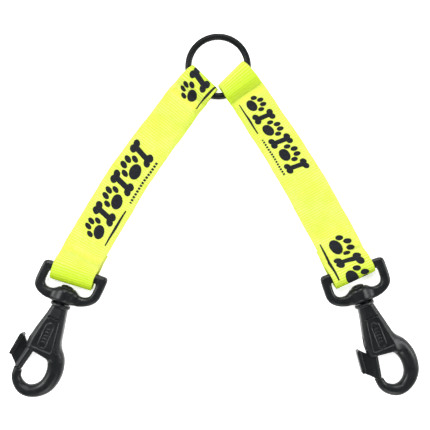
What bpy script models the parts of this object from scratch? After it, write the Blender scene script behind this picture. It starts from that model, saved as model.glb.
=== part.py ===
"""Two-dog lead coupler: a round ring, two webbing arms and two swivel bolt snaps.

It lies flat, +Z up, ring towards +Y. Work is in millimetres about the ring's centre; the
finished meshes are scaled to metres and moved so that the middle of the base is the origin.
"""

import math

import bmesh
import bpy
import numpy as np
from mathutils import Matrix, Vector

MM = 0.001

# Ring: a closed steel ring of round wire.
RING_MEAN_R = 18.0
WIRE_R = 2.0
RING_Z = 3.8
RING_STEPS = 48
WIRE_STEPS = 12

# Webbing.
WEB_T = 1.5
WEB_HALF = 13.0
WEB_HALF_AT_FOLD = 10.3
WEB_HALF_BY_RING = 11.6
FOLD_TAPER_LENGTH = 12.0
SPREAD_LENGTH = 95.0
LOOP_END = 26.9
FLEX_AT = 27.5
STRAP_START = 28.1
TAIL_END = 25.5
FLEX_Z = 2.6

# Centre line of each arm, from the fold at the ring to the fold at the eye: x, y and the
# direction in degrees away from straight down.
LEFT_LINE = (
    (-7.5, -6.2, -44.5),
    (-24.8, -26.4, -37.0),
    (-51.2, -62.2, -34.5),
    (-73.3, -98.3, -31.0),
    (-84.9, -119.9, -23.0),
    (-89.0, -131.7, -17.3),
)
RIGHT_LINE = (
    (7.2, -4.0, 45.5),
    (24.2, -26.5, 35.0),
    (47.5, -62.2, 31.5),
    (67.8, -98.3, 28.5),
    (78.3, -119.3, 25.5),
    (83.0, -129.2, 25.0),
)
LEFT_WIRE_AT = 8.4
RIGHT_WIRE_AT = 10.0

# Swivel snap: the middle of the eye's boss, where the pin tilts in its loose bore, and the
# turns of the eye and of the hook from +Y.
LEFT_PIVOT = (-92.5, -138.4)
LEFT_EYE_TURN = -17.3
LEFT_HOOK_TURN = -22.6
RIGHT_PIVOT = (85.7, -137.9)
RIGHT_EYE_TURN = 18.7
RIGHT_HOOK_TURN = 22.5
PIVOT_V = 4.95
HOOK_Z = 6.0

EYE_BAR_R = 2.75
EYE_TOP_V = 20.25
EYE_HALF = 17.5
BOSS_R = 5.9
BOSS_BOTTOM = 0.8
BOSS_TOP = 9.1
BOSS_BORE_R = 2.95

PIN_R = 2.3
PIN_BOTTOM = -8.0
NECK_BORE_R = 2.35
NECK_BORE_END = -8.3
PIN_HEAD_R = 4.0
PIN_HEAD_LOW = 9.85

# Bolt line inside the snap, leaning with the housing's left wall.
BOLT_FOOT = (-6.6, -32.6)
BOLT_LEAN = 12.0
BOLT_R = 2.25
BOLT_LOW = -13.0
BOLT_HIGH = 8.0
CHANNEL_R = 2.5
CHANNEL_END = 22.2
TIP_AT = -13.3
SLOT_HALF = 1.5
SLOT_END = 12.6
FIN_HALF = 1.2
RAIL_HALF = 3.4

SPRING_R = 1.55
SPRING_WIRE = 0.3
SPRING_TURNS = 7
SPRING_LOW = 8.35
SPRING_HIGH = 21.85


def clear_scene():
    for old in list(bpy.data.objects):
        bpy.data.objects.remove(old, do_unlink=True)


def material(name, colour, roughness, metallic=0.0):
    made = bpy.data.materials.new(name)
    made.use_nodes = True
    shader = made.node_tree.nodes["Principled BSDF"]
    shader.inputs["Base Color"].default_value = (*colour, 1.0)
    shader.inputs["Roughness"].default_value = roughness
    shader.inputs["Metallic"].default_value = metallic
    return made


def mesh_of(verts, faces):
    """A mesh in millimetres with its faces turned outwards."""
    mesh = bpy.data.meshes.new("solid")
    mesh.from_pydata([tuple(float(c) for c in v) for v in verts], [], faces)
    turn_outward(mesh)
    return mesh


def turn_outward(mesh):
    work = bmesh.new()
    work.from_mesh(mesh)
    bmesh.ops.recalc_face_normals(work, faces=work.faces)
    if work.calc_volume(signed=True) < 0:
        bmesh.ops.reverse_faces(work, faces=work.faces)
    work.to_mesh(mesh)
    work.free()


def boolean(mesh, other, operation):
    """The union or difference of two closed meshes, as a new mesh."""
    target = bpy.data.objects.new("target", mesh)
    tool = bpy.data.objects.new("tool", other)
    bpy.context.scene.collection.objects.link(target)
    bpy.context.scene.collection.objects.link(tool)
    step = target.modifiers.new("step", "BOOLEAN")
    step.operation = operation
    step.solver = "EXACT"
    step.object = tool
    graph = bpy.context.evaluated_depsgraph_get()
    result = bpy.data.meshes.new_from_object(target.evaluated_get(graph))
    bpy.data.objects.remove(target, do_unlink=True)
    bpy.data.objects.remove(tool, do_unlink=True)
    return result


def loft(sections, closed=False):
    """Join equal-sized closed sections; an open run gets flat end caps."""
    size = len(sections[0])
    verts = [point for section in sections for point in section]
    faces = []
    count = len(sections)
    last = count if closed else count - 1
    for i in range(last):
        a = i * size
        b = ((i + 1) % count) * size
        for k in range(size):
            n = (k + 1) % size
            faces.append((a + k, a + n, b + n, b + k))
    if not closed:
        faces.append(tuple(reversed(range(size))))
        faces.append(tuple(range((count - 1) * size, count * size)))
    return mesh_of(verts, faces)


def turn_solid(profile, steps):
    """A solid of revolution about +Y from (radius, y) pairs that start and end off the axis."""
    sections = []
    for radius, y in profile:
        ring = []
        for k in range(steps):
            angle = 2 * math.pi * k / steps
            ring.append((radius * math.cos(angle), y, radius * math.sin(angle)))
        sections.append(ring)
    return loft(sections)


def box(low, high):
    sections = []
    for z in (low[2], high[2]):
        sections.append(
            [(low[0], low[1], z), (high[0], low[1], z), (high[0], high[1], z), (low[0], high[1], z)]
        )
    return loft(sections)


def plate(outline, low, high):
    """A straight-sided plate from an outline in X and Y."""
    return loft([[(x, y, z) for x, y in outline] for z in (low, high)])


def smooth_path(points, per_span):
    """A smooth open curve through rows of numbers."""
    rows = np.array(points, dtype=float)
    padded = np.vstack([2 * rows[0] - rows[1], rows, 2 * rows[-1] - rows[-2]])
    made = []
    for i in range(1, len(padded) - 2):
        a, b, c, d = padded[i - 1 : i + 3]
        for k in range(per_span):
            t = k / per_span
            made.append(
                0.5
                * (
                    2 * b
                    + (c - a) * t
                    + (2 * a - 5 * b + 4 * c - d) * t * t
                    + (3 * b - a - 3 * c + d) * t**3
                )
            )
    made.append(rows[-1])
    return np.array(made)


def tube_sections(path, sides, closed=False, end_direction=None):
    """Mitred oval sections along a path of rows (x, y, in-plane radius, depth radius)."""
    count = len(path)
    sections = []
    for i in range(count):
        here = path[i, :2]
        before = path[(i - 1) % count, :2]
        after = path[(i + 1) % count, :2]
        first = here - before
        second = after - here
        if not closed and i == 0:
            first = second
        if not closed and i == count - 1:
            second = first if end_direction is None else np.array(end_direction)
            first = second
        first = first / np.linalg.norm(first)
        second = second / np.linalg.norm(second)
        along = first + second
        along /= np.linalg.norm(along)
        across = np.array([along[1], -along[0]])
        mitre = 1.0 / max(0.5, float(along @ first))
        ring = []
        for k in range(sides):
            angle = 2 * math.pi * (k + 0.5) / sides
            side = across * math.cos(angle) * path[i, 2] * mitre
            ring.append((here[0] + side[0], here[1] + side[1], math.sin(angle) * path[i, 3]))
        sections.append(ring)
    return sections


class Arm:
    """The centre line of one arm, measured by the length along it."""

    def __init__(self, line):
        points = []
        for start, end in zip(line[:-1], line[1:]):
            points.extend(self.span(start, end))
        points.append((line[-1][0], line[-1][1]))
        self.points = np.array(points)
        steps = np.linalg.norm(np.diff(self.points, axis=0), axis=1)
        self.lengths = np.concatenate([[0.0], np.cumsum(steps)])
        self.length = float(self.lengths[-1])

    @staticmethod
    def span(start, end, steps=40):
        a = np.array(start[:2])
        b = np.array(end[:2])
        reach = float(np.linalg.norm(b - a))
        ta = reach * np.array([math.sin(math.radians(start[2])), -math.cos(math.radians(start[2]))])
        tb = reach * np.array([math.sin(math.radians(end[2])), -math.cos(math.radians(end[2]))])
        made = []
        for k in range(steps):
            t = k / steps
            made.append(
                (2 * t**3 - 3 * t * t + 1) * a
                + (t**3 - 2 * t * t + t) * ta
                + (3 * t * t - 2 * t**3) * b
                + (t**3 - t * t) * tb
            )
        return made

    def at(self, s):
        x = np.interp(s, self.lengths, self.points[:, 0])
        y = np.interp(s, self.lengths, self.points[:, 1])
        return np.array([x, y])

    def direction(self, s):
        low = min(max(s - 0.8, 0.0), self.length - 1.6)
        ahead = self.at(low + 1.6) - self.at(low)
        return ahead / np.linalg.norm(ahead)

    def across(self, s):
        d = self.direction(s)
        return np.array([-d[1], d[0]])

    def half(self, s):
        stops = (0.0, FOLD_TAPER_LENGTH, SPREAD_LENGTH)
        return float(np.interp(s, stops, (WEB_HALF_AT_FOLD, WEB_HALF_BY_RING, WEB_HALF)))


def webbing(arm, profile):
    """A strip of webbing whose middle layer follows (length along the arm, height) pairs."""
    rows = np.array(profile)
    sections = []
    for i, (s, z) in enumerate(rows):
        before = rows[i] - rows[max(i - 1, 0)]
        after = rows[min(i + 1, len(rows) - 1)] - rows[i]
        joint = [v / np.linalg.norm(v) for v in (before, after) if np.linalg.norm(v) > 0]
        along = sum(joint)
        along = along / np.linalg.norm(along)
        mitre = 1.0 / float(along @ joint[0])
        normal = np.array([-along[1], along[0]]) * WEB_T / 2 * mitre
        ring = []
        for side, layer in ((-1, -1), (1, -1), (1, 1), (-1, 1)):
            s_here = s + normal[0] * layer
            place = arm.at(min(max(s_here, 0.0), arm.length))
            place = place + arm.across(s_here) * arm.half(s_here) * side
            ring.append((place[0], place[1], z + normal[1] * layer))
        sections.append(ring)
    return loft(sections)


def bend(centre, radius, start, end, steps):
    """Points (length, height) on an arc; degrees, 0 towards +length, 90 up."""
    made = []
    for k in range(steps + 1):
        angle = math.radians(start + (end - start) * k / steps)
        made.append((centre[0] + radius * math.cos(angle), centre[1] + radius * math.sin(angle)))
    return made


def ring_loop_profile(wire_at):
    """Tail under the wire, the fold inside the ring, then over the wire and down to the seam."""
    profile = [(TAIL_END, 0.85), (22.8, 1.15), (20.9, 1.35), (15.6, 1.35), (13.0, 1.1), (9.5, 0.76)]
    profile += bend((3.8, RING_Z), 3.05, 270, 90, 8)
    profile += bend((wire_at, RING_Z), 3.05, 90, 48, 4)
    profile += [(wire_at + 4.2, 4.35), (wire_at + 5.2, 3.5), (15.9, 3.15)]
    profile += [(20.9, 3.15), (23.7, 2.85), (LOOP_END, 2.62)]
    return profile


def hook_loop_profile(length):
    """The same at the eye, measured back from the fold there."""
    profile = [(TAIL_END, 0.85), (23.7, 1.2), (21.6, 1.8), (16.3, 1.8), (13.0, 1.4), (9.0, 0.8)]
    profile += bend((5.3, 5.3), 4.55, 270, 90, 8)
    profile += bend((8.9, HOOK_Z), 3.8, 90, 40, 4)
    profile += [(14.3, 5.45), (15.3, 4.35), (16.8, 3.6)]
    profile += [(21.8, 3.6), (24.2, 2.95), (LOOP_END, 2.62)]
    return [(length - s, z) for s, z in profile]


def strap_profile(length):
    """Single layer between the two seams, down on the ground along its middle."""
    ends = [(STRAP_START, 2.56), (31.0, 1.9), (34.0, 1.15), (37.0, 0.8), (40.0, 0.75)]
    profile = list(ends)
    for k in range(1, 12):
        profile.append((40.0 + (length - 80.0) * k / 12, 0.75))
    profile += [(length - s, z) for s, z in reversed(ends)]
    return profile


def place_on_arm(arm, s, z=0.0):
    """A frame on the arm: X across it, Y back towards the ring, Z up."""
    d = arm.direction(s)
    a = arm.across(s)
    place = arm.at(s)
    return Matrix(
        (
            (a[0], -d[0], 0, place[0]),
            (a[1], -d[1], 0, place[1]),
            (0, 0, 1, z),
            (0, 0, 0, 1),
        )
    )


def moved(mesh, matrix):
    mesh.transform(matrix)
    turn_outward(mesh)
    return mesh


def bartack(low, high):
    """A dense bar of thread through both layers, with a flange on each face."""
    half = WEB_HALF - 2.0
    thread = box((-half, -2.0, high), (half, 2.0, high + 0.45))
    stem = box((-half + 0.35, -0.35, low - 0.2), (half - 0.35, 0.35, high + 0.2))
    foot = box((-half, -2.0, low - 0.45), (half, 2.0, low))
    return boolean(boolean(thread, stem, "UNION"), foot, "UNION")


def bartack_slot(low, high):
    half = WEB_HALF - 2.2
    return box((-half, -0.5, low - 1), (half, 0.5, high + 1))


def seamed(web, arm, s, low, high):
    """Webbing with the slot for its bartack, and the bartack itself."""
    frame = place_on_arm(arm, s)
    web = boolean(web, moved(bartack_slot(low, high), frame), "DIFFERENCE")
    return web, moved(bartack(low - 0.04, high + 0.04), frame)


def octagon(v_left, v_right, left, right, half, cut):
    """A chamfered box section; its two sides may sit at different lengths."""
    flat = [
        (left, -half + cut),
        (left, half - cut),
        (left + cut, half),
        (right - cut, half),
        (right, half - cut),
        (right, -half + cut),
        (right - cut, -half),
        (left + cut, -half),
    ]
    made = []
    for u, w in flat:
        k = (u - left) / (right - left)
        made.append((u, v_left + (v_right - v_left) * k, w))
    return made


def bolt_frame():
    """Bolt line: X across it to the right, Y up along it."""
    lean = math.radians(BOLT_LEAN)
    d = (math.sin(lean), math.cos(lean))
    return Matrix(
        ((d[1], d[0], 0, BOLT_FOOT[0]), (-d[0], d[1], 0, BOLT_FOOT[1]), (0, 0, 1, 0), (0, 0, 0, 1))
    )


def housing():
    rows = (
        (-1.0, -1.0, -5.0, 5.0, 4.9, 1.8),
        (-8.0, -8.0, -5.6, 6.3, 5.1, 2.0),
        (-18.0, -18.0, -8.5, 8.4, 5.5, 2.4),
        (-24.6, -24.6, -9.8, 9.7, 5.75, 2.7),
        (-31.0, -33.6, -9.8, 9.6, 5.8, 2.7),
    )
    return loft([octagon(*row) for row in rows])


def panel_cutter(side):
    """Shallow tapered recess on one broad face of the housing."""
    outline = []
    for v, left, right, depth in ((-10.0, -3.3, 3.9, 4.75), (-29.3, -6.6, 6.5, 5.38)):
        outline.append([(left, v, side * depth), (right, v, side * depth)])
        outline[-1] += [(right, v, side * 8.0), (left, v, side * 8.0)]
    return loft(outline)


def hook_path():
    rows = (
        (2.0, -24.0, 3.6, 3.6),
        (6.2, -27.6, 4.6, 4.4),
        (9.8, -32.0, 5.2, 4.6),
        (11.9, -37.5, 5.0, 4.5),
        (12.2, -43.0, 4.8, 4.4),
        (10.9, -48.6, 4.5, 4.2),
        (7.6, -53.0, 4.1, 4.0),
        (3.0, -55.7, 3.8, 3.7),
        (-1.5, -56.0, 3.6, 3.5),
        (-5.6, -53.9, 3.2, 3.1),
        (-8.4, -50.2, 2.8, 2.8),
        (*(bolt_frame() @ Vector((0, TIP_AT, 0))).xy, 2.5, 2.5),
    )
    return smooth_path(rows, 3)


def channel_cutter():
    """Bore for the bolt and its spring, with the slot that the thumb tab runs in."""
    bore = turn_solid(((CHANNEL_R, -6.0), (CHANNEL_R, CHANNEL_END)), 20)
    slot = box((-12.0, -6.0, -SLOT_HALF), (0.0, SLOT_END, SLOT_HALF))
    return moved(boolean(bore, slot, "UNION"), bolt_frame())


def hook_body():
    lean = math.radians(BOLT_LEAN)
    arc = loft(tube_sections(hook_path(), 14, end_direction=(math.sin(lean), math.cos(lean))))
    body = boolean(housing(), arc, "UNION")
    collar = turn_solid(((5.3, -0.2), (5.7, -0.6), (5.7, -1.8), (5.2, -2.2)), 24)
    body = boolean(body, collar, "UNION")
    neck_bore = turn_solid(((NECK_BORE_R, 1.0), (NECK_BORE_R, NECK_BORE_END)), 20)
    body = boolean(body, neck_bore, "DIFFERENCE")
    body = boolean(body, channel_cutter(), "DIFFERENCE")
    for side in (1, -1):
        body = boolean(body, panel_cutter(side), "DIFFERENCE")
    return body


def bolt():
    """Plunger with a thumb tab; drawn about its own line."""
    rod = turn_solid(
        ((BOLT_R - 0.4, BOLT_LOW), (BOLT_R, BOLT_LOW + 0.4), (BOLT_R, BOLT_HIGH - 0.4),
         (BOLT_R - 0.4, BOLT_HIGH)), 20
    )
    fin = plate(
        ((0.0, -12.4), (0.0, 3.0), (-4.9, 3.0), (-7.9, 5.3), (-9.6, 4.4), (-8.3, -8.4), (-2.1, -12.4)),
        -FIN_HALF, FIN_HALF,
    )
    rail = plate(
        ((-7.6, 5.0), (-8.6, 6.0), (-10.2, 5.0), (-9.2, -8.2), (-8.4, -8.6), (-6.8, -8.0)),
        -RAIL_HALF, RAIL_HALF,
    )
    made = boolean(boolean(rod, fin, "UNION"), rail, "UNION")
    return moved(made, bolt_frame())


def spring():
    sections = []
    steps = SPRING_TURNS * 10
    for i in range(steps + 1):
        turn = 2 * math.pi * i / 10
        height = SPRING_LOW + (SPRING_HIGH - SPRING_LOW) * i / steps
        ring = []
        for k in range(6):
            angle = 2 * math.pi * k / 6
            radius = SPRING_R + SPRING_WIRE * math.cos(angle)
            up = height + SPRING_WIRE * math.sin(angle)
            ring.append((radius * math.cos(turn), up, radius * math.sin(turn)))
        sections.append(ring)
    return moved(loft(sections), bolt_frame())


def swivel_eye():
    half = (
        (EYE_HALF, EYE_TOP_V, 2.75),
        (17.6, 13.0, 2.75),
        (17.4, 10.0, 2.8),
        (16.5, 7.6, 2.9),
        (14.8, 5.7, 3.0),
        (12.2, 4.6, 3.1),
        (9.0, 4.2, 3.2),
        (5.0, 4.4, 3.2),
    )
    rows = [(u, v, r, EYE_BAR_R) for u, v, r in half]
    rows.append((0.0, 4.6, 3.2, EYE_BAR_R))
    rows += [(-u, v, r, EYE_BAR_R) for u, v, r in reversed(half)]
    frame = loft(tube_sections(np.array(rows), 16, closed=True), closed=True)
    boss = turn_solid(
        ((BOSS_R - 0.8, BOSS_BOTTOM), (BOSS_R, BOSS_BOTTOM + 0.8), (BOSS_R, BOSS_TOP - 0.8),
         (BOSS_R - 0.8, BOSS_TOP)), 24
    )
    bore = turn_solid(((BOSS_BORE_R, -3.0), (BOSS_BORE_R, 14.0)), 20)
    return boolean(boolean(frame, boss, "UNION"), bore, "DIFFERENCE")


def swivel_pin():
    profile = (
        (PIN_R - 0.4, PIN_BOTTOM),
        (PIN_R, PIN_BOTTOM + 0.4),
        (PIN_R, PIN_HEAD_LOW),
        (PIN_HEAD_R, PIN_HEAD_LOW),
        (PIN_HEAD_R, PIN_HEAD_LOW + 0.6),
        (3.2, PIN_HEAD_LOW + 1.3),
        (1.6, PIN_HEAD_LOW + 1.6),
    )
    return turn_solid(profile, 20)


def torus():
    sections = []
    for i in range(RING_STEPS):
        turn = 2 * math.pi * i / RING_STEPS
        ring = []
        for k in range(WIRE_STEPS):
            angle = 2 * math.pi * k / WIRE_STEPS
            radius = RING_MEAN_R + WIRE_R * math.cos(angle)
            up = RING_Z + WIRE_R * math.sin(angle)
            ring.append((radius * math.cos(turn), radius * math.sin(turn), up))
        sections.append(ring)
    return loft(sections, closed=True)


def snap_frame(pivot, turn):
    """A frame of the snap or its eye: X across, Y up the long axis, origin at the neck's top."""
    place = Matrix.Translation((pivot[0], pivot[1], HOOK_Z))
    place = place @ Matrix.Rotation(math.radians(turn), 4, "Z")
    return place @ Matrix.Translation((0, -PIVOT_V, 0))


def add(name, mesh, mat, origin, smooth_angle=40.0):
    """One named sub-part with its origin at a point given in millimetres."""
    made = bpy.data.objects.new(name, mesh)
    bpy.context.scene.collection.objects.link(made)
    mesh.name = name
    mesh.materials.clear()
    mesh.materials.append(mat)
    mesh.transform(Matrix.Translation(-Vector(origin)))
    made.location = Vector(origin)
    work = bmesh.new()
    work.from_mesh(mesh)
    bmesh.ops.remove_doubles(work, verts=work.verts, dist=0.004)
    for edge in work.edges:
        sharp = edge.calc_face_angle(math.pi) > math.radians(smooth_angle)
        edge.smooth = not sharp
    for face in work.faces:
        face.smooth = True
    work.to_mesh(mesh)
    work.free()
    return made


def build_arm(side, line, wire_at, pivot, eye_turn, hook_turn, mats):
    arm = Arm(line)
    eye_frame = snap_frame(pivot, eye_turn)
    frame = snap_frame(pivot, hook_turn)
    length = arm.length

    web, thread = seamed(webbing(arm, ring_loop_profile(wire_at)), arm, 18.4, 0.6, 3.9)
    add(side + "_ring_loop", web, mats["webbing"], (0, 0, RING_Z))
    add(side + "_ring_bartack", thread, mats["thread"], (0, 0, RING_Z))

    strap_origin = (*arm.at(FLEX_AT), FLEX_Z)
    add(side + "_strap", webbing(arm, strap_profile(length)), mats["webbing"], strap_origin)

    loop_origin = (*arm.at(length - FLEX_AT), FLEX_Z)
    web = webbing(arm, hook_loop_profile(length))
    web, thread = seamed(web, arm, length - 19.2, 1.05, 4.35)
    add(side + "_hook_loop", web, mats["webbing"], loop_origin)
    add(side + "_hook_bartack", thread, mats["thread"], loop_origin)

    eye_origin = eye_frame @ Vector((0, EYE_TOP_V, 0))
    add(side + "_swivel_eye", moved(swivel_eye(), eye_frame), mats["hook_black"], eye_origin)
    neck_origin = frame @ Vector((0, 0, 0))
    add(side + "_hook_body", moved(hook_body(), frame), mats["hook_black"], neck_origin)
    add(side + "_swivel_pin", moved(swivel_pin(), frame), mats["pin_black"], neck_origin)
    add(side + "_spring", moved(spring(), frame), mats["spring_steel"], neck_origin)
    bolt_origin = frame @ bolt_frame() @ Vector((0, 0, 0))
    add(side + "_bolt", moved(bolt(), frame), mats["bolt_black"], bolt_origin)


def settle():
    """Scale to metres and put the middle of the base at the origin."""
    bpy.context.view_layer.update()
    corners = []
    for made in bpy.data.objects:
        corners += [made.matrix_world @ vert.co for vert in made.data.vertices]
    rows = np.array([tuple(c) for c in corners])
    low = rows.min(axis=0)
    high = rows.max(axis=0)
    base = Vector(((low[0] + high[0]) / 2, (low[1] + high[1]) / 2, low[2]))
    for made in bpy.data.objects:
        made.data.transform(Matrix.Scale(MM, 4))
        made.location = (made.location - base) * MM
    bpy.context.view_layer.update()


def build():
    clear_scene()
    mats = {
        "webbing": material("webbing", (0.80, 1.0, 0.05), 0.7),
        "thread": material("thread", (0.72, 0.95, 0.05), 0.6),
        "ring_black": material("ring_black", (0.02, 0.02, 0.022), 0.35, 0.6),
        "hook_black": material("hook_black", (0.025, 0.027, 0.03), 0.5),
        "bolt_black": material("bolt_black", (0.025, 0.027, 0.03), 0.5),
        "pin_black": material("pin_black", (0.02, 0.02, 0.022), 0.4),
        "spring_steel": material("spring_steel", (0.45, 0.45, 0.46), 0.3, 1.0),
    }
    add("o_ring", torus(), mats["ring_black"], (0, 0, RING_Z))
    left = (LEFT_PIVOT, LEFT_EYE_TURN, LEFT_HOOK_TURN)
    right = (RIGHT_PIVOT, RIGHT_EYE_TURN, RIGHT_HOOK_TURN)
    build_arm("left", LEFT_LINE, LEFT_WIRE_AT, *left, mats)
    build_arm("right", RIGHT_LINE, RIGHT_WIRE_AT, *right, mats)
    settle()


build()
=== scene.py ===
"""Looks of the two-dog lead coupler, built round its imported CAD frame."""

import math

import bpy
import numpy as np
from mathutils import Matrix, Vector


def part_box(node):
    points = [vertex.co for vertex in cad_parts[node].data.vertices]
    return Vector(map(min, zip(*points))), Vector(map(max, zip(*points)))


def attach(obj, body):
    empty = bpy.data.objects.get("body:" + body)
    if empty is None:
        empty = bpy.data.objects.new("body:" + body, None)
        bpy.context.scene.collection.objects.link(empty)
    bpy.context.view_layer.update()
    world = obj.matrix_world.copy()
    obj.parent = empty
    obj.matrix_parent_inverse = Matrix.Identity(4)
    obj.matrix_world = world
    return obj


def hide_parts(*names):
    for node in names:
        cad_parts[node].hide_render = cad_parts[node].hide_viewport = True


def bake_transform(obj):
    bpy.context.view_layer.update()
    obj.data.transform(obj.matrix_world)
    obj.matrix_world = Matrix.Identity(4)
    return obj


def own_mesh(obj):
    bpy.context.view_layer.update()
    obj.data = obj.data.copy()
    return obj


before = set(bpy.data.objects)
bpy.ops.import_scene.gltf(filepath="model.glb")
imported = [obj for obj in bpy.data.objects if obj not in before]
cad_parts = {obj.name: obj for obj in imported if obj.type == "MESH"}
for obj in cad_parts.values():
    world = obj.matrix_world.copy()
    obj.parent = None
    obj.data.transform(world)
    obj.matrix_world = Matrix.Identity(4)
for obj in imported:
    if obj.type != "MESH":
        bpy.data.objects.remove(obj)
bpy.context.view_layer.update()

MM = 0.001
FULL_TURN = 2 * math.pi
RING_LOW, RING_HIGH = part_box("o_ring")
RING_MID = (RING_LOW + RING_HIGH) / 2
RING_Z = 3.8

# The ground under the ring's centre. The object's shapes are drawn in millimetres from here.
BASE = Vector((RING_MID.x, RING_MID.y, RING_MID.z - RING_Z * MM))

RING_R, WIRE_R = 18.0, 2.0

# Points along the middle of each arm: x, y, and the heading in degrees from -Y towards +X.
LEFT_LINE = (
    (-7.5, -6.2, -44.5),
    (-24.8, -26.4, -37.0),
    (-51.2, -62.2, -34.5),
    (-73.3, -98.3, -31.0),
    (-84.9, -119.9, -23.0),
    (-89.0, -131.7, -17.3),
)
RIGHT_LINE = (
    (7.2, -4.0, 45.5),
    (24.2, -26.5, 35.0),
    (47.5, -62.2, 31.5),
    (67.8, -98.3, 28.5),
    (78.3, -119.3, 25.5),
    (83.0, -129.2, 25.0),
)

# Each snap is drawn as (u, v, w): across it, along it towards the arm, and up from its middle.
# It stands HOOK_Z above the ground, and turns about its pivot, which is at v = PIVOT_V.
LEFT_PIVOT, LEFT_EYE_TURN, LEFT_HOOK_TURN = (-92.5, -138.4), -17.3, -22.6
RIGHT_PIVOT, RIGHT_EYE_TURN, RIGHT_HOOK_TURN = (85.7, -137.9), 18.7, 22.5
PIVOT_V, HOOK_Z = 4.95, 6.0
EYE_SKEW = {"left": 0.135, "right": 0.0}

# The bolt's own line starts at BOLT_FOOT. The rod runs from BOLT_LOW to BOLT_HIGH along it.
BOLT_FOOT, BOLT_LEAN = (-6.6, -32.6), math.radians(12.0)
TIP_AT, BOLT_LOW, BOLT_HIGH = -13.3, -13.0, 8.0
ROD_R, CHANNEL_R, CHANNEL_LOW, CHANNEL_TOP = 2.25, 2.5, -6.0, 22.2
SLOT_HALF, SLOT_TOP = 1.5, 12.6

# The webbing: thickness, rib spacing, and half its width by the length from the fold at the ring.
WEB_T, RIB = 1.34, 1.54
HALF_WIDTHS = ((0.0, 12.0, 95.0), (10.6, 11.7, 13.1))

# Lengths from each fold: the middle of the seam, and the stretch that bends at the hinge.
RING_SEAM, RING_HINGE = 18.4, (21.2, 34.0)
HOOK_SEAM, HOOK_HINGE = 19.2, (22.2, 34.0)
HINGE_Z = 2.6

# How far the ring's wire reaches along each arm from its fold.
LEFT_WIRE_AT, RIGHT_WIRE_AT = 8.4, 10.0

# Each print on an arm: where it starts, which way it runs, and its scale. NO_INK means none near.
LEFT_PRINTS = ((19.2, -1.0, 0.95), (120.7, -1.0, 1.0))
RIGHT_PRINTS = ((18.6, 1.0, 0.84), (117.6, 1.0, 1.06))
NO_INK = 5.0
INK_BLACK, INK_GREY = (0.002, 0.003, 0.005), (0.006, 0.007, 0.011)

# The camera looks straight down from this many metres above the snaps' middle, and takes in
# this many millimetres there, on a sensor of this many millimetres.
CAMERA_AWAY, CAMERA_WIDTH, SENSOR = 0.45, 258.86, 36.0


# ---------------------------------------------------------------- materials


class Paint:
    """A Principled material and short ways to add nodes to it."""

    def __init__(self, name, colour, roughness, **sockets):
        self.material = bpy.data.materials.new(name)
        self.material.use_nodes = True
        self.tree = self.material.node_tree
        self.shader = self.tree.nodes["Principled BSDF"]
        self.set("Base Color", (*colour, 1.0))
        self.set("Roughness", roughness)
        for socket, value in sockets.items():
            self.set(socket.replace("_", " "), value)

    def set(self, socket, value):
        if isinstance(value, bpy.types.NodeSocket):
            self.tree.links.new(value, self.shader.inputs[socket])
        else:
            self.shader.inputs[socket].default_value = value

    def node(self, kind, inputs=(), **settings):
        made = self.tree.nodes.new(kind)
        for key, value in settings.items():
            setattr(made, key, value)
        for key, value in dict(inputs).items():
            if isinstance(value, bpy.types.NodeSocket):
                self.tree.links.new(value, made.inputs[key])
            else:
                made.inputs[key].default_value = value
        return made

    def math(self, operation, a, b=0.0):
        return self.node("ShaderNodeMath", {0: a, 1: b}, operation=operation).outputs[0]

    def ramp(self, value, low, high, out_low=0.0, out_high=1.0, smooth=True):
        inputs = {"Value": value, "From Min": low, "From Max": high}
        inputs.update({"To Min": out_low, "To Max": out_high})
        kind = "SMOOTHSTEP" if smooth else "LINEAR"
        made = self.node("ShaderNodeMapRange", inputs, interpolation_type=kind)
        return made.outputs["Result"]

    def mix(self, factor, first, second):
        made = self.node("ShaderNodeMix", data_type="RGBA")
        for index, value in ((0, factor), (6, first), (7, second)):
            if isinstance(value, bpy.types.NodeSocket):
                self.tree.links.new(value, made.inputs[index])
            elif index == 0:
                made.inputs[index].default_value = value
            else:
                made.inputs[index].default_value = (*value, 1.0)
        return made.outputs[2]

    def noise(self, scale, detail, vector=None):
        if vector is None:
            vector = self.node("ShaderNodeTexCoord").outputs["Object"]
        inputs = {"Vector": vector, "Scale": scale, "Detail": detail}
        return self.node("ShaderNodeTexNoise", inputs).outputs["Fac"]

    def bump(self, height, strength, distance):
        inputs = {"Height": height, "Strength": strength, "Distance": distance}
        self.set("Normal", self.node("ShaderNodeBump", inputs).outputs["Normal"])

    def stored(self, name):
        """Reads a number or vector that each point of the mesh carries."""
        return self.node("ShaderNodeAttribute", attribute_name=name, attribute_type="GEOMETRY")

    def inked(self):
        """How far ink covers a spot, from 0 to 1."""
        return self.ramp(self.stored("ink").outputs["Fac"], -0.10, 0.12, 1.0, 0.0)


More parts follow.
